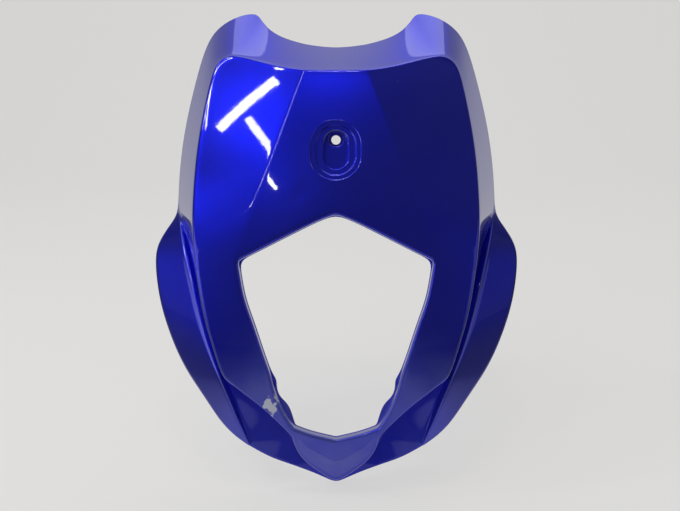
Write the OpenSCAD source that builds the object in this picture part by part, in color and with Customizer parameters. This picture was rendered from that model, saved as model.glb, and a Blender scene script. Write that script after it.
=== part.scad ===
// Leg shield of a scooter: one injection moulded, painted shell.
// X runs across, Y runs rearwards, Z runs up. The left half mirrors the right half.
// The shape is drawn along its own draw direction and then leaned back to its standing angle.
// The origin is the mouth of the screw hole in the badge recess.

/* [Overall size] */
// Width over the two side wings
shield_w = 454; // [428:1:480]
// Height as it stands, from the chin tip to the horns
shield_h = 526; // [496:1:556]
// Depth from the front of the face to the rear edge of the flanks
shield_d = 154; // [144:1:164]
// Angle the shield leans back
lean = 16; // [10:1:22]
// Wall of the moulding
wall = 2.8; // [2.2:0.1:3.4]

/* [Face] */
// Radius of the edge between the face and the flanks
edge_r = 6; // [4.5:0.5:8]
// Sideways curve of the face, as a radius
face_r = 710; // [620:10:820]
// Slope the outer face panels turn back with past the crease
crease_slope = 0.25; // [0.18:0.01:0.32]
// How far the chin crease stands out
chin_ridge = 4; // [2:0.5:6]

/* [Lamp opening] */
// Width between the upper corners of the opening
opening_w = 218; // [208:1:226]
// Height of the apex of the opening above the chin tip
opening_top = 310.5; // [302:0.5:318]
// Height of the two upper corners of the opening above the chin tip
opening_side = 255; // [248:0.5:262]
// Radius of the lip round the opening
lip_r = 3.5; // [3:0.1:4.5]
// Depth of the flange behind the lip
flange_d = 17; // [13:0.5:21]
// Width of the lugs low down on the flange, at their widest
lug_w = 7.5; // [6:0.5:9]

/* [Badge recess] */
// Width of the oval dish the badge sits in
dish_w = 56; // [50:1:62]
// Length by which the oval is taller than it is wide
dish_long = 13; // [8:1:16]
// Width of the rim step inside the dish
step_w = 6; // [4:0.5:7]
// Depth of each of the two steps of the dish
step_d = 1.6; // [1.2:0.1:2]
// Slope of the floors of the dish, which run level with the face where it sits
badge_tilt = 14; // [12:0.5:16]
// Width of the deep slot in the dish
slot_w = 26.5; // [24:0.5:29]
// Height of the slot
slot_h = 45; // [42:1:48]
// Depth of the shelf of the slot below the face
slot_d = 11; // [9:0.5:13]
// Diameter of the round pocket for the screw head
pocket_dia = 17; // [15:0.5:20]
// Depth of the floor of the pocket below the face
pocket_d = 17; // [15:0.5:20]
// Diameter of the screw hole in the floor of the pocket
screw_d = 10.5; // [8:0.1:12]

/* [Hidden] */
$fn = 64;
spans = 2;
badge_z = 374.5;
slot_up = 1;
screw_up = 14;

// Small helpers
function mix(a, b, t) = a + (b - a) * t;
function unit(v) = v / norm(v);
function ease(t) = t <= 0 ? 0 : t >= 1 ? 1 : t * t * (3 - 2 * t);
function flat(rows) = [for (r = rows) each r];

// A smooth curve through a few points, with n steps between each two
function bend(a, b, c, d, t) =
    0.5 * ((2 * b) + (c - a) * t + (2 * a - 5 * b + 4 * c - d) * t * t + (3 * b - a - 3 * c + d) * t * t * t);
function before(p) = 2 * p[0] - p[1];
function after(p) = let (m = len(p) - 1) 2 * p[m] - p[m - 1];
function curve(p, n) =
    let (q = [before(p), each p, after(p)])
    [
        for (i = [0:len(p) - 2]) for (k = [0:n - 1]) bend(q[i], q[i + 1], q[i + 2], q[i + 3], k / n),
        p[len(p) - 1]
    ];
function join(a, b) = [each a, for (i = [1:len(b) - 1]) b[i]];

// Real sizes stretch with the overall size
sx = shield_w / 454;
sz = shield_h / 526;
sy = shield_d / 154;

// The front of the face: leans back towards the top, curves sideways, and turns back past the crease
function crease_x(z) = face_top[3].x + 0.344 * sx / sz * (face_top[3].y - z);
function front(x, z) =
    sy * (-4 + 0.0008 * pow(z / sz - 220, 2)) + x * x / (2 * face_r)
    + crease_slope * ease((z / sz - 256) / 100) * max(0, abs(x) - crease_x(z));
function on_face(p) = [p.x, front(p.x, p.y), p.y];

// Edge of the face, seen from the front: top edge, side, leg and the diagonal edge over the jaw
face_top = [
    for (p = [[0, 465], [13, 465.1], [25.5, 465.4], [37, 466], [64, 473], [89, 482.5], [110, 490.5],
        [125, 494.5]])
    [p.x * sx, p.y * sz]
];
face_side = [
    for (p = [[125, 494.5], [134.5, 491.5], [140.5, 484.5], [144.5, 470], [149, 438], [153.5, 397],
        [156, 352], [154.5, 306], [151.5, 275], [147.5, 244]])
    [p.x * sx, p.y * sz]
];
face_leg = [for (p = [[147.5, 244], [140, 200], [130.5, 166], [123, 141], [117, 127]]) [p.x * sx, p.y * sz]];
face_jaw = [for (p = [[117, 127], [98, 111], [80, 97.5], [62, 80.5], [45, 63]]) [p.x * sx, p.y * sz]];

// Edge of the chin panel, down to the tip
chin_edge = [
    for (p = [[45, front(45, 63) / sy, 63], [43, 27, 50], [35, 37, 33], [19, 47, 17.5], [0, 54, 3]])
    [p.x * sx, p.y * sy, p.z * sz]
];

// Lip of the opening: the slanted upper edge, the leg, the turn to the chin and the lower lip
ox = opening_w / 218;
function lip_z(x) =
    let (slope = (opening_top - opening_side) * sz / (opening_w / 2))
    opening_top * sz - sqrt(pow(slope * x, 2) + 14);
lip_corner = [opening_w / 2, lip_z(opening_w / 2)];
lip_leg = [lip_corner, for (p = [[103, 216], [92, 184], [82, 153], [74, 130]]) [p.x * ox, p.y * sz]];
lip_turn = [for (p = [[74, 130], [69.5, 111], [62.5, 93], [55.5, 79.5], [47.5, 68]]) [p.x * ox, p.y * sz]];
lip_low = [for (p = [[47.5, 68], [38, 64], [26, 60], [13, 56.7], [0, 53.6]]) [p.x * ox, p.y * sz]];

// Rear edge of the shell: neck, horn and side, and then the wing down to the end of the jaw
rear_top = [
    for (p = [[0, 120, 516], [14, 120.3, 516.8], [28, 121.3, 518.8], [41, 123, 521.5], [66, 132, 531.5],
        [84, 140, 544], [95, 147, 558], [104, 150, 567.5], [127, 150, 563], [150, 150, 549], [166, 150, 525],
        [180, 150, 478], [193, 150, 420], [200, 150, 364], [202, 150, 312]])
    [p.x * sx, p.y * sy, p.z * sz]
];
rear_wing = [
    for (p = [[202, 150, 312], [219.5, 142, 285], [227, 133, 258], [217, 115, 205], [198.5, 98, 160],
        [182.5, 86, 132], [170.5, 79, 115]])
    [p.x * sx, p.y * sy, p.z * sz]
];
rear_low = [
    for (p = [[170.5, 79, 115], [149, 68.5, 88], [133, 61.5, 68], [116, 57, 52.5], [98, 54, 41]])
    [p.x * sx, p.y * sy, p.z * sz]
];
rear_jaw = [
    for (p = [[98, 54, 41], [75, 58, 27.5], [50, 61, 18], [24, 64, 7.5], [0, 66, -4]])
    [p.x * sx, p.y * sy, p.z * sz]
];

// Ridge along the inner side of the wing and the groove between it and the flank
ridge_wing = [
    for (p = [[199, 143, 311], [190, 120, 283], [181, 101, 258], [163, 69, 205], [148, 50, 164],
        [137, 40.5, 138], [129, 35, 121]])
    [p.x * sx, p.y * sy, p.z * sz]
];
ridge_low = [
    for (p = [[129, 35, 121], [118, 36, 95], [112, 39.5, 79], [104.5, 45, 60], [98, 54, 41]])
    [p.x * sx, p.y * sy, p.z * sz]
];
groove_wing = [
    for (p = [[181, 127, 282], [172, 109, 256], [154.5, 77, 203], [141, 58, 163], [130, 48, 138],
        [122.5, 42.5, 120]])
    [p.x * sx, p.y * sy, p.z * sz]
];
groove_low = [
    for (p = [[122.5, 42.5, 120], [115, 46.5, 97], [110, 50, 80], [104, 52.5, 61], [98, 54, 41]])
    [p.x * sx, p.y * sy, p.z * sz]
];

// Foot of the step below the diagonal edge, and of the step beside the chin panel
jaw_foot = [
    for (p = [[122.5, 42.5, 120], [101, 50.5, 101.5], [82.5, 55, 87], [65, 58.5, 72], [49.5, 61, 57]])
    [p.x * sx, p.y * sy, p.z * sz]
];
chin_foot = [
    for (p = [[49.5, 61, 57], [46.5, 61.5, 47.5], [37.5, 62.5, 29], [20.5, 63.5, 13], [0, 64, 0]])
    [p.x * sx, p.y * sy, p.z * sz]
];

// Edge of the face as one run of points, and the direction that leads out of the face at each
edge_stations = [each face_top, each [for (i = [1:9]) face_side[i]], each [for (i = [1:4]) face_leg[i]]];
function out_of(a, b) = let (t = unit(b - a)) [-t.y, t.x];
function outward(p, i) =
    i == 0 ? [0, 1] : i == len(p) - 1 ? out_of(p[i - 1], p[i]) : out_of(p[i - 1], p[i + 1]);

// The inner skin: each run of points moves in by the wall, s sideways and y to the rear
function inset(p, i, s, y, k) =
    let (n = outward(edge_stations, min(i, len(edge_stations) - 1)))
    p + k * wall * [-n.x * s, y, -n.y * s];
function rear_top_in(k) = [for (i = [0:14]) inset(rear_top[i], i, 0.89, 0.45, k)];
function rear_wing_in(k) =
    [inset(rear_top[14], 14, 0.89, 0.45, k), for (i = [1:6]) inset(rear_wing[i], i + 14, 0.65, 0.76, k)];
function rear_low_in(k) = [
    inset(rear_wing[6], 20, 0.65, 0.76, k), for (i = [1:3]) rear_low[i] + k * wall * [-0.6, 0.8, 0.3],
    rear_low[4] + k * wall * [-0.5, 1, 0.4]
];
function rear_jaw_in(k) = [rear_low_in(k)[4], for (i = [1:4]) rear_jaw[i] + k * wall * [0, 1, 0.4]];
function ridge_wing_in(k) =
    [inset(ridge_wing[0], 14, 0.89, 0.6, k), for (i = [1:6]) inset(ridge_wing[i], i + 14, 0, 1.35, k)];
function ridge_low_in(k) = [
    ridge_wing_in(k)[6], for (i = [1:3]) ridge_low[i] + k * wall * [-0.1, 1.35, 0], rear_low_in(k)[4]
];
function groove_low_in(k) = [
    groove_end(k), for (i = [1:3]) groove_low[i] + k * wall * [-0.4, 1.6, 0], rear_low_in(k)[4]
];
function groove_end(k) = groove_wing[5] + k * wall * [-0.7, 1.4, 0.5];
function groove_wing_in(k) = [for (i = [0:4]) inset(groove_wing[i], i + 15, 0.64, 2, k), groove_end(k)];
function jaw_foot_in(k) = [groove_end(k), for (i = [1:4]) jaw_foot[i] + k * wall * [-0.6, 1, 0.7]];
function chin_foot_in(k) =
    let (w = k * wall)
    [jaw_foot_in(k)[4], for (i = [1:3]) chin_foot[i] + w * [-0.6, 1, 0.6], chin_foot[4] + w * [0, 1, 0.6]];

// Edge of the face as a fine run, k = 0 for the outer skin and 1 for the inner skin
edge_plan = join(join(join(curve(face_top, spans), curve(face_side, spans)), curve(face_leg, spans)),
    curve(face_jaw, spans));
chin_plan = curve(chin_edge, spans);
edge_line = join([for (p = edge_plan) on_face(p)], chin_plan);
edge_flat = [for (p = edge_line) [p.x, p.z]];
edge_out = [for (i = [0:len(edge_flat) - 1]) i == len(edge_flat) - 1 ? [0, -1] : outward(edge_flat, i)];
crease_n = 3 * spans;
top_n = 7 * spans;
leg_n = 16 * spans;
jaw_n = 20 * spans;
chin_n = 24 * spans;
tip_n = 28 * spans;

// The rounded edge: points on an arc that starts flush with the face
function edge_arc(i, k) =
    let (p = edge_line[i], n = edge_out[i], r = i > jaw_n ? edge_r * 0.6 : edge_r, w = k * wall)
    [
        for (a = [0, 25, 50, 75])
            let (s = (r - w) * sin(a))
            p + [n.x * s, w + (r - w) * (1 - cos(a)), n.y * s]
    ];

// Runs of the flank, one point for each point of the edge
function rear_line(k) =
    join(curve(rear_top_in(k), spans), curve(rear_wing_in(k), spans));
wing_n = 14 * spans;
function on_flank(i, k, g, a, b) = mix(edge_arc(i, k)[3], g[i], a + b * ease((i - 9 * spans) / (5 * spans)));
function ridge_line(k) =
    let (g = curve(rear_top_in(k), spans))
    join([for (i = [0:wing_n - 1]) on_flank(i, k, g, 0.85, 0.09), ridge_wing_in(k)[0]],
        curve(ridge_wing_in(k), spans));
function groove_line(k) =
    let (g = curve(rear_top_in(k), spans), a = [for (i = [0:wing_n]) on_flank(i, k, g, 0.6, 0.28)])
    join(a, curve([a[wing_n], each groove_wing_in(k)], spans));
function foot_line(k) = join(curve(jaw_foot_in(k), spans), curve(chin_foot_in(k), spans));
function under_line(k) = join(curve(groove_low_in(k), spans), curve(rear_jaw_in(k), spans));

// Lip of the opening as a fine run, from the apex round to the lower lip
apex_n = crease_n;
lip_upper = [for (i = [0:apex_n]) let (x = lip_corner.x * i / apex_n) [x, lip_z(x)]];
lip_plan = join(join(curve(lip_leg, spans), curve(lip_turn, spans)), curve(lip_low, spans));
lip_all = join(lip_upper, lip_plan);
lip_last = len(lip_all) - 1;
lip_out = [for (i = [0:lip_last]) i == lip_last ? [0, -1] : outward(lip_all, i)];
lug_shape = [[4.4, 0], [4.5, 0.5], [5, 0.12], [5.5, 0.12], [6, 0.72], [6.5, 0.78], [7, 0.62], [7.5, 0.3], [8, 0]];
function lug(i) = 0.5 + (lug_w - 0.5) * lookup((i - apex_n) / spans, lug_shape);
function lip_row(i, k) =
    let (p = on_face(lip_all[i]), n = lip_out[i], w = k * wall, m = [n.x, 0, n.y], back = [0, 1, 0],
        low = p - m * (lip_r - 0.6) + back * flange_d)
    [
        for (a = [0, 45, 85]) p + back * lip_r - (m * sin(a) + back * cos(a)) * (lip_r - w),
        low + (m + back) * w,
        low - m * lug(i) + back * w
    ];

// Face panels as rows of points
function coons(top, bottom, left, right) =
    let (m = len(left) - 1, n = len(top) - 1)
    [
        for (j = [0:m])
            let (v = j / m)
            [
                for (i = [0:n])
                    let (u = i / n)
                    mix(top[i], bottom[i], v) + mix(left[j], right[j], u)
                        - mix(mix(top[0], top[n], u), mix(bottom[0], bottom[n], u), v)
            ]
    ];
side_n = leg_n - top_n;
crease_line = [for (j = [0:side_n]) mix(face_top[3], lip_corner, j / side_n)];
middle_plan = coons(
    [for (i = [0:crease_n]) edge_plan[i]],
    lip_upper,
    [for (j = [0:side_n]) mix(face_top[0], lip_upper[0], j / side_n)],
    crease_line
);
outer_plan = coons(
    [for (i = [crease_n:top_n]) edge_plan[i]],
    [for (i = [crease_n:top_n]) mix(lip_corner, face_side[9], (i - crease_n) / (top_n - crease_n))],
    crease_line,
    [for (j = [0:side_n]) edge_plan[top_n + j]]
);
function face_rows(plan, k) = [for (r = plan) [for (p = r) on_face(p) + [0, k * wall, 0]]];

// Legs and chin: from the lip across to the edge of the face
leg_cols = top_n - crease_n;
function leg_rows(k) = [
    for (i = [leg_n:tip_n])
        let (a = on_face(lip_plan[i - leg_n]), b = edge_line[i], chin = ease((i - chin_n) / (4 * spans)))
        [
            for (c = [0:leg_cols])
                let (t = c / leg_cols, p = mix(a, b, t), rise = 1 - abs(2 * t - 1))
                let (y = i > chin_n ? p.y - chin_ridge * rise * chin : c % leg_cols == 0 ? p.y : front(p.x, p.z))
                [p.x, y + k * wall, p.z]
        ]
];

// Flanks, wings and jaw
function step_rows(k) = [
    for (i = [0:tip_n])
        let (arc = edge_arc(i, k), v = i <= jaw_n ? groove_line(k)[i] : foot_line(k)[i - jaw_n])
        [each arc, mix(arc[3], v, 0.5), v]
];
function wing_rows(k) = let (v = groove_line(k), f = ridge_line(k), g = rear_line(k)) [
    for (i = [0:jaw_n]) [v[i], mix(v[i], f[i], 0.5), f[i], mix(f[i], g[i], 0.35), mix(f[i], g[i], 0.7), g[i]]
];
function low_wing_rows(k) =
    let (v = curve(groove_low_in(k), spans), f = curve(ridge_low_in(k), spans))
    let (g = curve(rear_low_in(k), spans))
    [
        for (i = [0:4 * spans])
            [v[i], mix(v[i], f[i], 0.5), f[i], mix(f[i], g[i], 0.35), mix(f[i], g[i], 0.7), g[i]]
    ];
function jaw_rows(k) =
    let (a = foot_line(k), b = under_line(k))
    [for (i = [0:len(a) - 1]) [for (c = [0:4]) mix(a[i], b[i], c / 4)]];

// The two rims that close the skins: the rear edge and the end of the flange
function rear_rim() = [
    for (k = [0, 1])
        join(join(rear_line(k), curve(rear_low_in(k), spans)), curve(rear_jaw_in(k), spans))
];
function lip_rim() = [for (k = [1, 0]) [for (i = [0:lip_last]) lip_row(i, k)[4]]];

// Rows of points become triangles, on a fine grid so that neighbouring sheets meet exactly.
// A row that closes to a point drops its empty triangles.
function tri(a, b, c) = a == b || b == c || a == c ? [] : [[a, b, c]];
function snap(v) = floor(v * 500 + 0.377) / 500;
function sheet(raw, flip) = let (rows = [for (r = raw) [for (p = r) [snap(p.x), snap(p.y), snap(p.z)]]]) [
    for (j = [0:len(rows) - 2])
        for (i = [0:len(rows[0]) - 2])
            let (a = rows[j][i], b = rows[j][i + 1], c = rows[j + 1][i + 1], d = rows[j + 1][i])
            each (flip ? [each tri(a, b, c), each tri(a, c, d)] : [each tri(a, c, b), each tri(a, d, c)])
];
function skin(k) = [
    each sheet(face_rows(middle_plan, k), k == 0),
    each sheet(face_rows(outer_plan, k), k == 0),
    each sheet(leg_rows(k), k == 0),
    each sheet(step_rows(k), k == 0),
    each sheet(wing_rows(k), k == 0),
    each sheet(low_wing_rows(k), k == 0),
    each sheet(jaw_rows(k), k == 0),
    each sheet([for (i = [0:lip_last]) lip_row(i, k)], k == 1)
];
function half() = [each skin(0), each skin(1), each sheet(rear_rim(), false), each sheet(lip_rim(), false)];
function other(p) = [p.x == 0 ? 0 : -p.x, p.y, p.z];

module shell() {
    h = half();
    tris = [each h, for (t = h) [other(t[0]), other(t[2]), other(t[1])]];
    polyhedron(
        points = flat(tris),
        faces = [for (i = [0:len(tris) - 1]) [3 * i, 3 * i + 1, 3 * i + 2]]
    );
}

// Place of the badge recess, and the mouth of its screw hole. All its walls run along the draw direction.
badge_at = [0, front(0, badge_z * sz), badge_z * sz];
screw_z = badge_z * sz + screw_up;
screw_at = [0, front(0, screw_z) + pocket_d, screw_z];
cut_from = badge_at.y - 30;
cut_to = badge_at.y + 60;

// An upright oval prism along the draw direction, from two discs and the block between them
module oval(w, long, up) {
    translate([0, cut_from, badge_z * sz + up])
        rotate([-90, 0, 0])
            linear_extrude(cut_to - cut_from)
                union() {
                    translate([0, long / 2])
                        circle(d = w);
                    translate([0, -long / 2])
                        circle(d = w);
                    square([w, long], center = true);
                }
}

// A slab level with the face at the recess, between two depths below it
module slab(from, to) {
    translate(badge_at)
        rotate([90 - badge_tilt, 0, 0])
            translate([-50, -50, -to])
                cube([100, 100, to - from]);
}

// A round along the draw direction at the screw, between two depths from the mouth of its hole
module round_at_screw(d, from, to) {
    translate(screw_at + [0, from, 0])
        rotate([-90, 0, 0])
            cylinder(d = d, h = to - from);
}

module leg_shield() {
    slot_long = slot_h - slot_w;
    floor_d = 2 * step_d;
    color("RoyalBlue")
        rotate([-lean, 0, 0]) translate(-screw_at)
            difference() {
                union() {
                    shell();
                    intersection() {
                        oval(dish_w + 2, dish_long, 0);
                        slab(1.5, floor_d + wall);
                    }
                    intersection() {
                        oval(slot_w + 2 * wall, slot_long, slot_up);
                        slab(floor_d, slot_d + wall);
                    }
                    intersection() {
                        round_at_screw(pocket_dia + 2 * wall, -40, wall);
                        slab(floor_d, 60);
                    }
                }
                intersection() {
                    oval(dish_w, dish_long, 0);
                    slab(-12, step_d);
                }
                intersection() {
                    oval(dish_w - 2 * step_w, dish_long, 0);
                    slab(-12, floor_d);
                }
                intersection() {
                    oval(slot_w, slot_long, slot_up);
                    slab(-12, slot_d);
                }
                round_at_screw(pocket_dia, -pocket_d, 0);
                round_at_screw(screw_d, -5, wall + 5);
            }
}

leg_shield();
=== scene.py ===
import math
import bpy
from mathutils import Matrix, Vector
from mathutils.kdtree import KDTree


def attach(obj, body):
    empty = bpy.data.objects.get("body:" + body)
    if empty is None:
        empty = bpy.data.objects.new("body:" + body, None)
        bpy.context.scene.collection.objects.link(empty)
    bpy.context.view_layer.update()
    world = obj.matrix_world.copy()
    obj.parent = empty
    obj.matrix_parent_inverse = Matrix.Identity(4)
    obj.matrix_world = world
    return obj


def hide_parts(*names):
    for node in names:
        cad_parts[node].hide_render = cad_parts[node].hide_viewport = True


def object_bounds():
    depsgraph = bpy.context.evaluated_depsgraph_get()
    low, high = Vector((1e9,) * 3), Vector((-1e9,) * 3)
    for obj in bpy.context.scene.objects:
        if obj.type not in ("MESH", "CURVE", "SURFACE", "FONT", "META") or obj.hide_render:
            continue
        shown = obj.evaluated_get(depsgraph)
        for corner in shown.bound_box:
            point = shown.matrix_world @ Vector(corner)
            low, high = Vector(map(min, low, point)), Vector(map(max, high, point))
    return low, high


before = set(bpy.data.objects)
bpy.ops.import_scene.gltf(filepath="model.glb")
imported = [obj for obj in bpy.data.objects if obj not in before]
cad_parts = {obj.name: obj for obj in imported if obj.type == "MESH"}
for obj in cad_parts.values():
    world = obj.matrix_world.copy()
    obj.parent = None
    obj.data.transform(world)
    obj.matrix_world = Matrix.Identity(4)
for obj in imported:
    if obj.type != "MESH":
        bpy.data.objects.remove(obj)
cad_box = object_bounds()
bpy.ops.object.select_all(action="DESELECT")

# ---------------------------------------------------------------- face of the shield
# The big front skin of the moulding: three panels between two long creases, one sheet of plastic
# about 2.8 mm thick. It is free-form, so its skin is laid in quads between the mould's own lines.
# Sizes here are millimetres as drawn in the mould: across, to the rear, up from the chin tip.
wall = 2.8
steps = 2  # cells of the skin between two points of a mould line


def ease(t):
    t = min(max(t, 0.0), 1.0)
    return t * t * (3 - 2 * t)


def mix(a, b, t):
    return a + (b - a) * t


def crease_across(up):
    """How far out the long crease is: 37 mm at the top edge, and further out lower down."""
    return 37 + 0.344 * (466 - up)


def face_depth(across, up):
    """How far back the face lies: bowed both ways, and folded back outside the crease above the opening."""
    bow = -4 + 0.0008 * (up - 220) ** 2 + across * across / 1420
    fold = 0.25 * ease((up - 256) / 100)
    return bow + fold * max(0.0, abs(across) - crease_across(up))


def on_face(p):
    return Vector((p.x, face_depth(p.x, p.y), p.y))


def run(points):
    """A smooth line through the points of a mould line, with steps cells between two of them."""
    p = [Vector(q) for q in points]
    p = [2 * p[0] - p[1]] + p + [2 * p[-1] - p[-2]]
    line = []
    for i in range(1, len(p) - 2):
        a, b, c, d = p[i - 1:i + 3]
        for k in range(steps):
            t = k / steps
            line.append(0.5 * (2 * b + (c - a) * t + (2 * a - 5 * b + 4 * c - d) * t * t
                               + (3 * b - a - 3 * c + d) * t ** 3))
    return line + [p[-2]]


def joined(first, *rest):
    """Lines end to end, without the point where each begins on the last."""
    line = list(first)
    for r in rest:
        line += r[1:]
    return line


face_top = [(0, 465), (13, 465.1), (25.5, 465.4), (37, 466), (64, 473), (89, 482.5), (110, 490.5),
            (125, 494.5)]
face_side = [(125, 494.5), (134.5, 491.5), (140.5, 484.5), (144.5, 470), (149, 438), (153.5, 397), (156, 352),
             (154.5, 306), (151.5, 275), (147.5, 244)]
face_leg = [(147.5, 244), (140, 200), (130.5, 166), (123, 141), (117, 127)]
face_jaw = [(117, 127), (98, 111), (80, 97.5), (62, 80.5), (45, 63)]
chin_edge = [(45, face_depth(45, 63), 63), (43, 27, 50), (35, 37, 33), (19, 47, 17.5), (0, 54, 3)]

# The edge of the face from the middle of its top to the chin tip, and the count of cells to each corner.
edge_plan = joined(run(face_top), run(face_side), run(face_leg), run(face_jaw))
edge_line = joined([on_face(p) for p in edge_plan], run(chin_edge))
crease_n, top_n, wing_n, leg_n, jaw_n, chin_n, tip_n = (steps * n for n in (3, 7, 14, 16, 20, 24, 28))

lip_peak_up, lip_corner_x, lip_corner_up, peak_round = 310.5, 109, 255, 14


def lip_up(across):
    """Height of the opening's upper edge: two straight sides that meet in a rounded peak."""
    fall = (lip_peak_up - lip_corner_up) / lip_corner_x * across
    return lip_peak_up - math.sqrt(fall ** 2 + peak_round)


lip_corner = (lip_corner_x, lip_up(lip_corner_x))
lip_upper = [Vector((x, lip_up(x))) for x in [lip_corner_x * i / crease_n for i in range(crease_n + 1)]]
lip_plan = joined(
    run([lip_corner, (103, 216), (92, 184), (82, 153), (74, 130)]),
    run([(74, 130), (69.5, 111), (62.5, 93), (55.5, 79.5), (47.5, 68)]),
    run([(47.5, 68), (38, 64), (26, 60), (13, 56.7), (0, 53.6)]))
lip_all = joined(lip_upper, lip_plan)

quads = []
sharp = []


def lay(rows, turn=False, gap=None):
    """A sheet of quads over rows of points; gap leaves out a block of them."""
    for j in range(len(rows) - 1):
        for i in range(len(rows[0]) - 1):
            if gap and gap[0] <= j < gap[1] and i < gap[2]:
                continue
            corners = [rows[j][i], rows[j][i + 1], rows[j + 1][i + 1], rows[j + 1][i]]
            quads.append(corners[::-1] if turn else corners)


def sharpen(line, amount, worn_and_lit=0.0):
    """Marks a line of the skin: how tight its fold is, and how much the paint on it is rubbed and painted
    pale as a highlight.
    """
    sharp.append((line, amount, worn_and_lit))


def filled(top, bottom, left, right):
    """Rows of points over a patch, from the four lines round it."""
    m, n = len(left) - 1, len(top) - 1
    rows = []
    for j in range(m + 1):
        v, row = j / m, []
        for i in range(n + 1):
            corners = mix(mix(top[0], top[n], i / n), mix(bottom[0], bottom[n], i / n), v)
            row.append(mix(top[i], bottom[i], v) + mix(left[j], right[j], i / n) - corners)
        rows.append(row)
    return rows


def straight_line(a, b, n):
    return [mix(a, b, i / n) for i in range(n + 1)]


side_n, outer_n = leg_n - top_n, top_n - crease_n
crease_line = straight_line(Vector((37, 466)), Vector(lip_corner), side_n)
middle = filled(edge_plan[:crease_n + 1], lip_upper, straight_line(edge_plan[0], lip_upper[0], side_n),
                crease_line)
outer = filled(edge_plan[crease_n:top_n + 1],
               straight_line(Vector(lip_corner), Vector((147.5, 244)), outer_n),
               crease_line, edge_plan[top_n:leg_n + 1])
# The badge recess takes the place of the middle panel's cells between lines 5 and 15, out to line 3.
badge_block = (5, 15, 3)
chin_ridge = 4


def legs_and_chin(k):
    """The face beside the opening and below it, where the chin stands forward along its middle."""
    rows = []
    for i in range(leg_n, tip_n + 1):
        a, b, chin = on_face(lip_plan[i - leg_n]), edge_line[i], ease((i - chin_n) / (4 * steps))
        row = []
        for c in range(outer_n + 1):
            t = c / outer_n
            p = mix(a, b, t)
            if i > chin_n:
                p.y -= chin_ridge * (1 - abs(2 * t - 1)) * chin
            elif 0 < c < outer_n:
                p.y = face_depth(p.x, p.z)
            p.y += k * wall
            row.append(p)
        rows.append(row)
    return rows


# All of the skin is laid twice: k is 0 for the painted outer side and 1 for the inner side, a wall behind.
for k in (0, 1):
    set_back = Vector((0, k * wall, 0))
    middle_rows = [[on_face(p) + set_back for p in r] for r in middle]
    lay(middle_rows, turn=k == 1, gap=badge_block)
    lay([[on_face(p) + set_back for p in r] for r in outer], turn=k == 1)
    leg_rows = legs_and_chin(k)
    lay(leg_rows, turn=k == 1)
    sharpen([on_face(p) + set_back for p in crease_line], 0.42, 0.7 * (1 - k))
    # On the outer skin the chin's ridge gets the fine pale line of rubbed paint and painted highlight.
    sharpen([r[len(r) // 2] for r in leg_rows[chin_n - leg_n:]], 0.5, 1 - k)

# ---------------------------------------------------------------- flanks, wings and jaw
# The sides of the same moulding: a rounded edge, a deep flank that runs back to the neck cut-out and the
# horns, a groove, and a flared wing each side that tapers down to the jaw below the diagonal edges.
rear_top = [(0, 120, 516), (14, 120.3, 516.8), (28, 121.3, 518.8), (41, 123, 521.5), (66, 132, 531.5),
            (84, 140, 544), (95, 147, 558), (104, 150, 567.5), (127, 150, 563), (150, 150, 549),
            (166, 150, 525), (180, 150, 478), (193, 150, 420), (200, 150, 364), (202, 150, 312)]
rear_wing = [(202, 150, 312), (219.5, 142, 285), (227, 133, 258), (217, 115, 205), (198.5, 98, 160),
             (182.5, 86, 132), (170.5, 79, 115)]
rear_low = [(170.5, 79, 115), (149, 68.5, 88), (133, 61.5, 68), (116, 57, 52.5), (98, 54, 41)]
rear_jaw = [(98, 54, 41), (75, 58, 27.5), (50, 61, 18), (24, 64, 7.5), (0, 66, -4)]
ridge_wing = [(199, 143, 311), (190, 120, 283), (181, 101, 258), (163, 69, 205), (148, 50, 164),
              (137, 40.5, 138), (129, 35, 121)]
ridge_low = [(129, 35, 121), (118, 36, 95), (112, 39.5, 79), (104.5, 45, 60), (98, 54, 41)]
groove_wing = [(181, 127, 282), (172, 109, 256), (154.5, 77, 203), (141, 58, 163), (130, 48, 138),
               (122.5, 42.5, 120)]
groove_low = [(122.5, 42.5, 120), (115, 46.5, 97), (110, 50, 80), (104, 52.5, 61), (98, 54, 41)]
jaw_foot = [(122.5, 42.5, 120), (101, 50.5, 101.5), (82.5, 55, 87), (65, 58.5, 72), (49.5, 61, 57)]
chin_foot = [(49.5, 61, 57), (46.5, 61.5, 47.5), (37.5, 62.5, 29), (20.5, 63.5, 13), (0, 64, 0)]


def out_of(a, b):
    t = (b - a).normalized()
    return Vector((-t.y, t.x))


def outwards(line, i):
    """The way out of the shape at a point of its edge, as seen from the front."""
    if i == 0:
        return Vector((0, 1))
    if i == len(line) - 1:
        return out_of(line[i - 1], line[i])
    return out_of(line[i - 1], line[i + 1])


edge_flat = [Vector((p.x, p.z)) for p in edge_line]
edge_out = [outwards(edge_flat, i) for i in range(len(edge_flat) - 1)] + [Vector((0, -1))]
edge_marks = [Vector(p) for p in face_top + face_side[1:] + face_leg[1:]]


def moved_in(p, i, sideways, back, k):
    """A point of the inner side: in from the edge and back by these parts of the wall."""
    n = outwards(edge_marks, min(i, len(edge_marks) - 1))
    return Vector(p) + k * wall * Vector((-n.x * sideways, back, -n.y * sideways))


def shifted(points, k, by):
    return [Vector(p) + k * wall * Vector(by) for p in points]


def rear_lines(k):
    top = [moved_in(p, i, 0.89, 0.45, k) for i, p in enumerate(rear_top)]
    wing = [top[14]] + [moved_in(rear_wing[i], i + 14, 0.65, 0.76, k) for i in range(1, 7)]
    low = [moved_in(rear_wing[6], 20, 0.65, 0.76, k)] + shifted(rear_low[1:4], k, (-0.6, 0.8, 0.3)) \
        + shifted(rear_low[4:], k, (-0.5, 1, 0.4))
    jaw = [low[4]] + shifted(rear_jaw[1:], k, (0, 1, 0.4))
    return run(top), run(wing), run(low), run(jaw)


edge_radius, jaw_edge_radius = 6.0, 3.6


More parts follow.
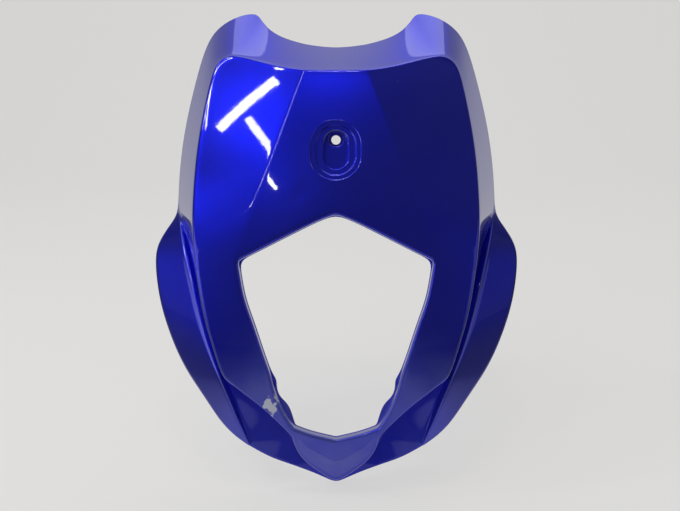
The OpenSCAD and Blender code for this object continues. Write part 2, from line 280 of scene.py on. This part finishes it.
def edge_round(i, k):
    """The rounded edge of the face, from the face to where the flank begins."""
    r = jaw_edge_radius if i > jaw_n else edge_radius
    p, n, w = edge_line[i], edge_out[i], k * wall
    rows = []
    for a in (0, 25, 50, 75):
        s = (r - w) * math.sin(math.radians(a))
        rows.append(p + Vector((n.x * s, w + (r - w) * (1 - math.cos(math.radians(a))), n.y * s)))
    return rows


def on_flank(i, k, rear, a, b):
    """A point so far down the flank: the part a of its depth over the top, and a + b at the side."""
    return mix(edge_round(i, k)[3], rear[i], a + b * ease((i - 9 * steps) / (5 * steps)))


def flank_lines(k):
    top, wing, low, jaw = rear_lines(k)
    rear = joined(top, wing)
    ridge = [moved_in(ridge_wing[0], 14, 0.89, 0.6, k)] \
        + [moved_in(ridge_wing[i], i + 14, 0, 1.35, k) for i in range(1, 7)]
    ridge_down = [ridge[6]] + shifted(ridge_low[1:4], k, (-0.1, 1.35, 0)) + [low[-1]]
    groove_end = Vector(groove_wing[5]) + k * wall * Vector((-0.7, 1.4, 0.5))
    groove = [moved_in(groove_wing[i], i + 15, 0.64, 2, k) for i in range(5)] + [groove_end]
    groove_down = [groove_end] + shifted(groove_low[1:4], k, (-0.4, 1.6, 0)) + [low[-1]]
    foot = [groove_end] + shifted(jaw_foot[1:], k, (-0.6, 1, 0.7))
    chin = [foot[4]] + shifted(chin_foot[1:4], k, (-0.6, 1, 0.6)) + shifted(chin_foot[4:], k, (0, 1, 0.6))
    ridge_line = joined([on_flank(i, k, top, 0.85, 0.09) for i in range(wing_n)] + [ridge[0]], run(ridge))
    groove_start = [on_flank(i, k, top, 0.6, 0.28) for i in range(wing_n + 1)]
    groove_line = joined(groove_start, run([groove_start[-1]] + groove))
    return {"rear": rear, "low": low, "jaw": jaw, "ridge": ridge_line, "ridge_down": run(ridge_down),
            "groove": groove_line, "groove_down": run(groove_down), "foot": joined(run(foot), run(chin)),
            "under": joined(run(groove_down), jaw)}


rear_rim = []
for k in (0, 1):
    f = flank_lines(k)
    turn = k == 1
    step_rows = []
    for i in range(tip_n + 1):
        rounded = edge_round(i, k)
        foot = f["groove"][i] if i <= jaw_n else f["foot"][i - jaw_n]
        step_rows.append(rounded + ([mix(rounded[3], foot, 0.5)] if k == 0 else []) + [foot])
    lay(step_rows, turn)
    if k == 0:
        # The rounded edge along the legs, jaw and chin gets a faint pale line of rubbed paint and painted
        # highlight.
        for c in (1, 2):
            sharpen([r[c] for r in step_rows[leg_n:]], 0.0, 0.9)

    def wing_row(v, r, g):
        if k == 1:
            return [v, r, mix(r, g, 0.5), g]
        return [v, mix(v, r, 0.5), r, mix(r, g, 0.35), mix(r, g, 0.7), g]

    lay([wing_row(f["groove"][i], f["ridge"][i], f["rear"][i]) for i in range(jaw_n + 1)], turn)
    lay([wing_row(f["groove_down"][i], f["ridge_down"][i], f["low"][i]) for i in range(4 * steps + 1)], turn)
    across = 4 if k == 0 else 2
    lay([[mix(a, b, c / across) for c in range(across + 1)] for a, b in zip(f["foot"], f["under"])], turn)
    rear_rim.append(joined(f["rear"], f["low"], f["jaw"]))
    sharpen(f["groove"][wing_n + steps:], 0.3)
    sharpen(f["groove_down"], 0.3)
    # On the outer skin the ridge gets the fine pale line of rubbed paint and painted highlight.
    sharpen(f["ridge"][wing_n:], 0.36, 1 - k)
    sharpen(f["ridge_down"], 0.36, 1 - k)
    sharpen(f["foot"], 0.4)
    sharpen(rear_rim[-1], 0.45)
lay([rear_rim[0], rear_rim[1]])

# ---------------------------------------------------------------- lip of the lamp opening
# The rolled lip round the five-sided opening, moulded in one with the face: a small radius, a flange that
# runs back and is seen inside the opening, and a stepped lug on the flange low at each side.
lip_radius, flange_depth, flange_taper = 3.5, 17, 2.9
lip_last = len(lip_all) - 1
lip_out = [outwards(lip_all, i) for i in range(lip_last)] + [Vector((0, -1))]
# How far the flange's rear end stands in, by the mould point below the upper corner: the lug has two steps.
lug_shape = [(4.4, 0.5), (4.5, 4), (5, 1.3), (5.5, 1.3), (6, 5.5), (6.5, 6), (7, 4.8), (7.5, 2.6), (8, 0.5)]


def lug(i):
    s = (i - crease_n) / steps
    for (a, u), (b, v) in zip(lug_shape, lug_shape[1:]):
        if a <= s <= b:
            return mix(u, v, (s - a) / (b - a))
    return 0.5


def lip_row(i, k):
    """A section of the lip, from the face over its radius to the rear end of the flange."""
    p, w = on_face(lip_all[i]), k * wall
    m = Vector((lip_out[i].x, 0, lip_out[i].y))
    back = Vector((0, 1, 0))
    row = []
    for a in (0, 45, 85):
        s, c = math.sin(math.radians(a)), math.cos(math.radians(a))
        row.append(p + back * lip_radius - (m * s + back * c) * (lip_radius - w))
    low = p - m * flange_taper + back * flange_depth
    return row + [low + (m + back) * w, low - m * lug(i) + back * w]


lip_rows = [[lip_row(i, k) for i in range(lip_last + 1)] for k in (0, 1)]
lay(lip_rows[0], turn=True)
lay(lip_rows[1])
lay([[r[4] for r in lip_rows[1]], [r[4] for r in lip_rows[0]]])
lug_start, lower_corner = crease_n + 9, crease_n + 8 * steps
for k in (0, 1):
    sharpen([r[3] for r in lip_rows[k]], 0.4)
    sharpen([r[4] for r in lip_rows[k]], 0.45)
    for i, amount in ((0, 0.36), (crease_n, 0.4), (lower_corner, 0.4), (lug_start, 0.34), (lip_last, 0.34)):
        sharpen(lip_rows[k][i], amount)

# ---------------------------------------------------------------- badge recess
# An oval dish with two rim steps, a deep slot in it, and a round pocket for the screw head with the hole
# right through: moulded in one with the face, all walls along the mould's draw, with a boss behind it.
badge_up = 374.5
floor_lean = math.radians(14)
dish_straight, slot_straight, slot_above = 13, 18.5, 1
screw_above, screw_hole_radius, pocket_radius = 14.0, 5.25, 8.2
ring_n = 2 * badge_block[2] + badge_block[1] - badge_block[0]


def ring(half_width, straight, centre):
    """Half an oval in even steps, from its top to its bottom, as seen from the front."""
    arc = math.pi * half_width / 2
    total = 2 * arc + straight
    points = []
    for i in range(ring_n + 1):
        s = total * i / ring_n
        if s <= arc:
            u, v = half_width * math.sin(s / half_width), straight / 2 + half_width * math.cos(s / half_width)
        elif s <= arc + straight:
            u, v = half_width, straight / 2 - (s - arc)
        else:
            a = (s - arc - straight) / half_width
            u, v = half_width * math.cos(a), -straight / 2 - half_width * math.sin(a)
        points.append((0.0 if i in (0, ring_n) else u, v + badge_up + centre))
    return points


def level_ring(half_width, straight, depth, centre=0.0):
    """An oval on a floor that runs level with the face, so deep below it."""
    y, slope = face_depth(0, badge_up) + depth / math.cos(floor_lean), math.tan(floor_lean)
    return [Vector((u, y + (v - badge_up) * slope, v)) for u, v in ring(half_width, straight, centre)]


def face_ring(half_width, k):
    """An oval in the face, k walls behind its front."""
    return [Vector((u, face_depth(u, v) + k * wall, v)) for u, v in ring(half_width, dish_straight, 0.0)]


screw_up = badge_up + screw_above
pocket_floor = face_depth(0, screw_up) + 17
mouth = Vector((0, pocket_floor, screw_up))


def pocket_ring(radius, depth):
    """A round at the screw, so deep below the mouth of its hole."""
    return [Vector((u, pocket_floor + depth, v)) for u, v in ring(radius, 0, screw_above)]


def block_edge(k):
    """The edge of the cells that the recess replaces."""
    j0, j1, c = badge_block
    plan = [middle[j0][i] for i in range(c)] + [middle[j][c] for j in range(j0, j1)] \
        + [middle[j1][i] for i in range(c, -1, -1)]
    return [on_face(p) + Vector((0, k * wall, 0)) for p in plan]


# Half width and depth of each ring, from the face down to the dish and the slot, and the same behind them.
dish_rings = [(28.1, 0.5), (27.6, 1.35), (26.7, 1.6), (23.6, 1.6), (22.8, 1.66), (22.2, 2.1), (21.7, 2.95),
              (20.7, 3.2)]
slot_rings = [(15.0, 3.2), (14.2, 3.26), (13.5, 3.75), (13.15, 4.9), (12.95, 9.8), (12.8, 11), (11.9, 11)]
pocket_rings = [(8.4, -3.2), (8.3, -1.0), (pocket_radius, 0), (7.3, 0), (6.0, 0), (screw_hole_radius, 0.05)]
slot_floor = level_ring(9.3, 0, 11, screw_above)
front_rings = [block_edge(0), face_ring(31.0, 0), face_ring(29.6, 0), face_ring(28.8, 0.03)]
front_rings += [level_ring(r, dish_straight, d) for r, d in dish_rings]
front_rings += [level_ring(r, slot_straight, d, slot_above) for r, d in slot_rings]
narrower = [Vector((q.x * 0.92, q.y + 0.1, screw_up + (q.z - screw_up) * 0.92)) for q in slot_floor]
front_rings += [slot_floor, narrower]
front_rings += [pocket_ring(r, d) for r, d in pocket_rings]
back_rings = [block_edge(1), face_ring(30.6, 1), face_ring(29.2, 1)]
back_rings += [level_ring(r, dish_straight, 6.0) for r in (29, 27.4)]
back_rings += [level_ring(r, slot_straight, d, slot_above)
               for r, d in ((17.4, 6.0), (16.05, 6.0), (16.0, 13.8), (14.6, 13.8))]
back_rings += [level_ring(11.3, 0, 13.8, screw_above)]
back_rings += [pocket_ring(r, wall) for r in (11.2, 9.8, 6.3, screw_hole_radius)]
lay(front_rings, turn=True)
lay(back_rings)
lay([front_rings[-1], back_rings[-1]], turn=True)
for i in (2, 3, 6, 7, 9, 10):
    sharpen(back_rings[i], 0.35)
sharpen(back_rings[-1], 0.4)
sharpen(front_rings[-1], 0.4)

# ---------------------------------------------------------------- the moulding in one piece
# The skins are joined to one closed shell of injection moulded plastic, mirrored, and smoothed as the
# polished steel mould gives it. It stands leaned back by 16 degrees, with the mouth of the screw hole at
# the origin.
lean = math.radians(16)


def standing(p):
    """A point of the mould in metres, as the shield stands."""
    d, u = p.y - mouth.y, p.z - mouth.z
    y, z = d * math.cos(lean) + u * math.sin(lean), u * math.cos(lean) - d * math.sin(lean)
    return Vector((p.x, y, z)) / 1000


mesh = bpy.data.meshes.new("leg_shield_shell")
mesh.from_pydata([standing(p) for q in quads for p in q], [],
                 [list(range(4 * i, 4 * i + 4)) for i in range(len(quads))])
shield = bpy.data.objects.new("leg_shield_shell", mesh)
bpy.context.scene.collection.objects.link(shield)
bpy.context.view_layer.objects.active = shield
shield.select_set(True)
bpy.ops.object.mode_set(mode="EDIT")
bpy.ops.mesh.select_all(action="SELECT")
bpy.ops.mesh.remove_doubles(threshold=0.00004)
bpy.ops.mesh.dissolve_degenerate(threshold=0.00004)
bpy.ops.object.mode_set(mode="OBJECT")

# The marked lines are found on the joined mesh, to fold it there and to say where its paint is rubbed and a
# highlight is painted on it.
nearest = KDTree(len(mesh.vertices))
for v in mesh.vertices:
    nearest.insert(v.co, v.index)
nearest.balance()
edge_of = {tuple(sorted(e.vertices)): e.index for e in mesh.edges}
crease = mesh.attributes.new("crease_edge", "FLOAT", "EDGE")
# Each point holds how much of the pale line of rubbed paint and painted highlight it carries.
rubbed_and_highlit = mesh.attributes.new("rubbed_and_highlit_edge", "FLOAT", "POINT")
for line, amount, worn_and_lit in sharp:
    ids = [nearest.find(standing(p))[1] for p in line]
    for i in ids:
        rubbed_and_highlit.data[i].value = max(rubbed_and_highlit.data[i].value, worn_and_lit)
    for a, b in zip(ids, ids[1:]):
        e = edge_of.get((min(a, b), max(a, b)))
        if amount and e is not None:
            crease.data[e].value = amount

mirror = shield.modifiers.new("other_half", "MIRROR")
mirror.merge_threshold = 0.00003
bpy.ops.object.modifier_apply(modifier="other_half")
bpy.ops.object.mode_set(mode="EDIT")
bpy.ops.mesh.select_all(action="SELECT")
bpy.ops.mesh.normals_make_consistent(inside=False)
bpy.ops.object.mode_set(mode="OBJECT")
smooth = shield.modifiers.new("smooth_skin", "SUBSURF")
smooth.levels = smooth.render_levels = 2
bpy.ops.object.modifier_apply(modifier="smooth_skin")
bpy.ops.object.shade_smooth()
shield.select_set(False)


# Cobalt metallic paint, sprayed on and covered by a glossy clear coat: a deep blue with fine flake in it
# under sharp reflections, which a faint orange peel in the clear makes waver.
def srgb(text):
    out = []
    for i in (0, 2, 4):
        c = int(text[i:i + 2], 16) / 255
        out.append(c / 12.92 if c <= 0.04045 else ((c + 0.055) / 1.055) ** 2.4)
    return (*out, 1.0)


def add(tree, kind, at, settings, *links):
    """Adds a node with its settings, and links its inputs: each link is an input and what feeds it."""
    n = tree.nodes.new(kind)
    n.location = at
    for key, value in settings.items():
        if isinstance(key, int) or key in n.inputs:
            n.inputs[key].default_value = value
        else:
            setattr(n, key, value)
    for key, output in links:
        tree.links.new(output, n.inputs[key])
    return n


paint = bpy.data.materials.new("cobalt_metallic_clear_coat")
paint.use_nodes = True
coats = paint.node_tree
coated = coats.nodes["Principled BSDF"]
coated.inputs["Metallic"].default_value = 0.9
coated.inputs["Roughness"].default_value = 0.36
coated.inputs["Specular IOR Level"].default_value = 0.3
coated.inputs["Coat Weight"].default_value = 1.0
coated.inputs["Coat Roughness"].default_value = 0.04
coated.inputs["Coat IOR"].default_value = 1.5
place = add(coats, "ShaderNodeTexCoord", (-1400, 0), {}).outputs["Object"]
# The real flake is about 0.05 mm wide. It is drawn about 0.4 mm wide, 2600 to the metre, so that it shows.
flake = add(coats, "ShaderNodeTexVoronoi", (-1150, 200), {"Scale": 2600.0}, ("Vector", place))
tint = add(coats, "ShaderNodeMix", (-850, 200),
           {"data_type": "RGBA", "A": srgb("0008b0"), "B": srgb("0014e0")},
           ("Factor", flake.outputs["Color"]))
coats.links.new(tint.outputs["Result"], coated.inputs["Base Color"])
# The waves of the orange peel are about 4 mm long, 260 to the metre.
peel = add(coats, "ShaderNodeTexNoise", (-1150, -400), {"Scale": 260.0, "Detail": 1.0}, ("Vector", place))
ripple = add(coats, "ShaderNodeBump", (-600, -400), {"Strength": 0.03, "Distance": 0.0004},
             ("Height", peel.outputs["Fac"]))
coats.links.new(ripple.outputs["Normal"], coated.inputs["Coat Normal"])

# Dry dust, rubbed clear coat and painted light over the paint: a grey-blue haze in patches low down on what
# stands out in front, which is dust and in part a painted reflection of the pale floor; a fine pale line on
# the folds, which is rubbed paint and in part a painted highlight; and the bright scuff on the end of one
# leg.
# The patches are about 110 mm across, 9 to the metre, and the grain of the scuff about 10 mm, 105 to the
# metre.
parts = add(coats, "ShaderNodeSeparateXYZ", (-1150, -700), {}, (0, place))
low_down = add(coats, "ShaderNodeMapRange", (-850, -700),
               {"interpolation_type": "SMOOTHSTEP", "From Min": -0.19, "From Max": -0.29, "To Min": 0.05,
                "To Max": 0.3}, ("Value", parts.outputs["Z"]))
in_front = add(coats, "ShaderNodeMapRange", (-850, -450),
               {"interpolation_type": "SMOOTHSTEP", "From Min": -0.084, "From Max": -0.094, "To Min": 0.25,
                "To Max": 1.0}, ("Value", parts.outputs["Y"]))
cloud = add(coats, "ShaderNodeTexNoise", (-1150, -100), {"Scale": 9.0, "Detail": 3.0}, ("Vector", place))
patch = add(coats, "ShaderNodeMapRange", (-850, -100),
            {"From Min": 0.4, "From Max": 0.65, "To Min": 0.35, "To Max": 1.0},
            ("Value", cloud.outputs["Fac"]))
low_patch = add(coats, "ShaderNodeMath", (-600, -700), {"operation": "MULTIPLY"},
                (0, low_down.outputs["Result"]), (1, patch.outputs["Result"]))
# The haze is dust, and in part a painted reflection of the pale floor on the low front parts.
dust_and_floor_reflection = add(coats, "ShaderNodeMath", (-400, -700), {"operation": "MULTIPLY"},
           (0, low_patch.outputs[0]), (1, in_front.outputs["Result"]))
# The pale line on the marked folds is rubbed paint, and in part a painted highlight along them.
edge = add(coats, "ShaderNodeAttribute", (-1150, -950), {"attribute_name": "rubbed_and_highlit_edge"})
rubbed_and_highlit_line = add(coats, "ShaderNodeMapRange", (-850, -950),
                  {"From Min": 0.84, "From Max": 1.0, "To Min": 0.0, "To Max": 0.4},
                  ("Value", edge.outputs["Fac"]))
leg_end = (-0.071, -0.103, -0.276)
from_leg_end = add(coats, "ShaderNodeVectorMath", (-1150, -1450), {"operation": "DISTANCE", 1: leg_end},
                   (0, place))
near = add(coats, "ShaderNodeMapRange", (-850, -1450),
           {"From Min": 0.007, "From Max": 0.02, "To Min": 0.34, "To Max": 0.0},
           ("Value", from_leg_end.outputs["Value"]))
grain = add(coats, "ShaderNodeTexNoise", (-1150, -1200), {"Scale": 105.0, "Detail": 5.0}, ("Vector", place))
torn = add(coats, "ShaderNodeMath", (-600, -1300), {"operation": "ADD"},
           (0, near.outputs["Result"]), (1, grain.outputs["Fac"]))
scuff = add(coats, "ShaderNodeMapRange", (-400, -1300),
            {"From Min": 0.76, "From Max": 0.84, "To Min": 0.0, "To Max": 0.85}, ("Value", torn.outputs[0]))
worn_and_lit_off = add(coats, "ShaderNodeMath", (-200, -900), {"operation": "MAXIMUM"},
               (0, rubbed_and_highlit_line.outputs["Result"]), (1, scuff.outputs["Result"]))
dust_and_sheen_cover = add(coats, "ShaderNodeMath", (0, -800), {"operation": "MAXIMUM"},
            (0, dust_and_floor_reflection.outputs[0]), (1, worn_and_lit_off.outputs[0]))
# The pale grey-blue is the dust's colour and also the colour of the painted floor reflection and painted fold
# highlights; the scuff turns it near white.
dust_and_sheen_colour = add(coats, "ShaderNodeMix", (-200, -500),
          {"data_type": "RGBA", "A": srgb("a9b4d6"), "B": srgb("f4f8ff")},
          ("Factor", scuff.outputs["Result"]))
dust_wear_and_sheen = add(coats, "ShaderNodeBsdfPrincipled", (0, -500), {"Roughness": 0.6},
           ("Base Color", dust_and_sheen_colour.outputs["Result"]))
laid = add(coats, "ShaderNodeMixShader", (500, 0), {}, ("Fac", dust_and_sheen_cover.outputs[0]), (1, coated.outputs[0]),
           (2, dust_wear_and_sheen.outputs[0]))
coats.nodes["Material Output"].location = (750, 0)
coats.links.new(laid.outputs[0], coats.nodes["Material Output"].inputs["Surface"])
shield.data.materials.append(paint)

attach(shield, "root")
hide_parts("leg_shield")

# ---------------------------------------------------------------- floor and backdrop
# A plain pale sweep of seamless paper: it lies under the chin and rises behind in one wide curve.
# It is hung wide and high enough that the paint doesn't mirror its edges.
low_z = cad_box[0][2]
sweep_near, sweep_turn, turn_radius, sweep_height, half_wide = -4.0, 1.9, 1.0, 9.0, 9.0
sweep_line = [(sweep_near, 0.0), (sweep_turn, 0.0)]
for i in range(1, 11):
    a = math.radians(9 * i)
    sweep_line.append((sweep_turn + turn_radius * math.sin(a), turn_radius - turn_radius * math.cos(a)))
sweep_line.append((sweep_turn + turn_radius, sweep_height))
sweep_mesh = bpy.data.meshes.new("paper_sweep")
sweep_mesh.from_pydata([(x, y, z + low_z) for y, z in sweep_line for x in (-half_wide, half_wide)], [],
                       [(2 * i, 2 * i + 1, 2 * i + 3, 2 * i + 2) for i in range(len(sweep_line) - 1)])
sweep = bpy.data.objects.new("paper_sweep", sweep_mesh)
bpy.context.scene.collection.objects.link(sweep)
for polygon in sweep_mesh.polygons:
    polygon.use_smooth = True
# Matt seamless paper. Seen straight on it is evenly pale and keeps the shadow. What the paint mirrors of it
# is palest straight ahead and behind, and falls off to the sides, as a lit table in a dim room does.
paper = bpy.data.materials.new("pale_seamless_paper")
paper.use_nodes = True
sheet = paper.node_tree
matt = sheet.nodes["Principled BSDF"]
matt.inputs["Base Color"].default_value = srgb("e6e5e2")
matt.inputs["Roughness"].default_value = 0.85
matt.inputs["Specular IOR Level"].default_value = 0.2
path = add(sheet, "ShaderNodeLightPath", (-700, 300), {})
where = add(sheet, "ShaderNodeTexCoord", (-1300, 0), {})
split = add(sheet, "ShaderNodeSeparateXYZ", (-1100, 0), {}, (0, where.outputs["Object"]))
aside = add(sheet, "ShaderNodeMath", (-900, 0), {"operation": "ABSOLUTE"}, (0, split.outputs["X"]))
behind = add(sheet, "ShaderNodeMath", (-900, -200), {"operation": "MAXIMUM", 1: 0.0}, (0, split.outputs["Y"]))
reach = add(sheet, "ShaderNodeMath", (-700, -200), {"operation": "MULTIPLY_ADD", 1: -1.2},
            (0, behind.outputs[0]), (2, aside.outputs[0]))
pool = add(sheet, "ShaderNodeMapRange", (-500, -100),
           {"interpolation_type": "SMOOTHSTEP", "From Min": 0.16, "From Max": 0.42, "To Min": 0.6,
            "To Max": 0.08}, ("Value", reach.outputs[0]))
level = add(sheet, "ShaderNodeMix", (-300, 100), {"data_type": "FLOAT", "A": 1.0},
            ("Factor", path.outputs["Is Glossy Ray"]), ("B", pool.outputs["Result"]))
straight_on = add(sheet, "ShaderNodeMath", (-500, 300), {"operation": "MULTIPLY", 1: 0.62},
                  (0, path.outputs["Is Camera Ray"]))
mirrored = add(sheet, "ShaderNodeMath", (-500, 150), {"operation": "MULTIPLY", 1: 0.92},
               (0, path.outputs["Is Glossy Ray"]))
share = add(sheet, "ShaderNodeMath", (-300, 300), {"operation": "MAXIMUM"},
            (0, straight_on.outputs[0]), (1, mirrored.outputs[0]))
glow = add(sheet, "ShaderNodeEmission", (-100, 100), {"Color": srgb("f7f6f4")},
           ("Strength", level.outputs["Result"]))
blend = add(sheet, "ShaderNodeMixShader", (300, 200), {}, ("Fac", share.outputs[0]), (1, matt.outputs[0]),
            (2, glow.outputs[0]))
sheet.links.new(blend.outputs[0], sheet.nodes["Material Output"].inputs["Surface"])
sweep_mesh.materials.append(paper)

# ---------------------------------------------------------------- lamps
# Strip boxes high at the left, which the clear coat and the long creases show as white bars, and one above
# the neck. Wide dim fills at both sides and a soft box behind light the rest, in a room that stays dim.
world = bpy.data.worlds.new("dim_room")
bpy.context.scene.world = world
world.use_nodes = True
world.node_tree.nodes["Background"].inputs["Color"].default_value = srgb("e8ecf2")
world.node_tree.nodes["Background"].inputs["Strength"].default_value = 0.16


def strip(name, start, end, width, watts, target):
    """A strip box from start to end that faces the target."""
    start, end = Vector(start), Vector(end)
    centre = (start + end) / 2
    away = (centre - Vector(target)).normalized()
    along = (end - start) - away * (end - start).dot(away)
    along.normalize()
    lamp = bpy.data.lights.new(name, "AREA")
    lamp.shape = "RECTANGLE"
    lamp.size, lamp.size_y, lamp.energy = (end - start).length, width, watts
    holder = bpy.data.objects.new(name, lamp)
    bpy.context.scene.collection.objects.link(holder)
    turn = Matrix((along, away.cross(along), away)).transposed()
    holder.matrix_world = Matrix.Translation(centre) @ turn.to_4x4()


# Each has its two ends, its width in metres, its watts and the point that it faces.
strip("strip_high_left", (-1.22, -0.12, 1.07), (-0.84, -0.02, 1.36), 0.07, 2.4, (-0.1, 0.03, 0.04))
strip("strip_front_left", (-1.05, -0.17, 1.17), (-0.96, -0.54, 1.09), 0.05, 1.35, (-0.08, 0.0, 0.0))
strip("strip_front", (-0.52, -1.00, 0.99), (-0.46, -1.14, 0.94), 0.025, 0.5, (-0.07, -0.03, -0.03))
strip("strip_crease", (-0.50, -0.22, 1.47), (-0.68, -0.78, 1.15), 0.02, 1.0, (-0.05, 0.0, 0.02))
strip("strip_crease_low", (-0.68, -0.78, 1.15), (-0.95, -0.89, 0.82), 0.02, 0.7, (-0.05, 0.0, 0.02))
strip("strip_above", (-0.27, -0.3, 1.5), (0.15, -0.34, 1.5), 0.05, 2.0, (0, 0.03, 0.07))
strip("fill_left", (-2.3, 0.1, 0.3), (-1.7, -1.7, 0.3), 1.3, 9, (-0.15, 0, -0.15))
strip("fill_right", (1.7, -1.7, 0.3), (2.3, 0.1, 0.3), 1.3, 3, (0.15, 0, -0.15))
strip("soft_box_behind", (-1.3, 1.3, 2.7), (1.5, 1.3, 2.7), 1.5, 16, (0, 0.1, -0.1))

# ---------------------------------------------------------------- camera
# It looks down on the shield by 16 degrees from 0.8 m away, as the photograph does.
camera_data = bpy.data.cameras.new("view")
camera_data.sensor_width = 36
camera_data.lens = 38.65
camera = bpy.data.objects.new("view", camera_data)
bpy.context.scene.collection.objects.link(camera)
camera.location = (0.0045, -0.8197, 0.1006)
camera.rotation_euler = (math.radians(74), 0, 0)
bpy.context.scene.camera = camera
bpy.context.scene.view_settings.view_transform = "Standard"
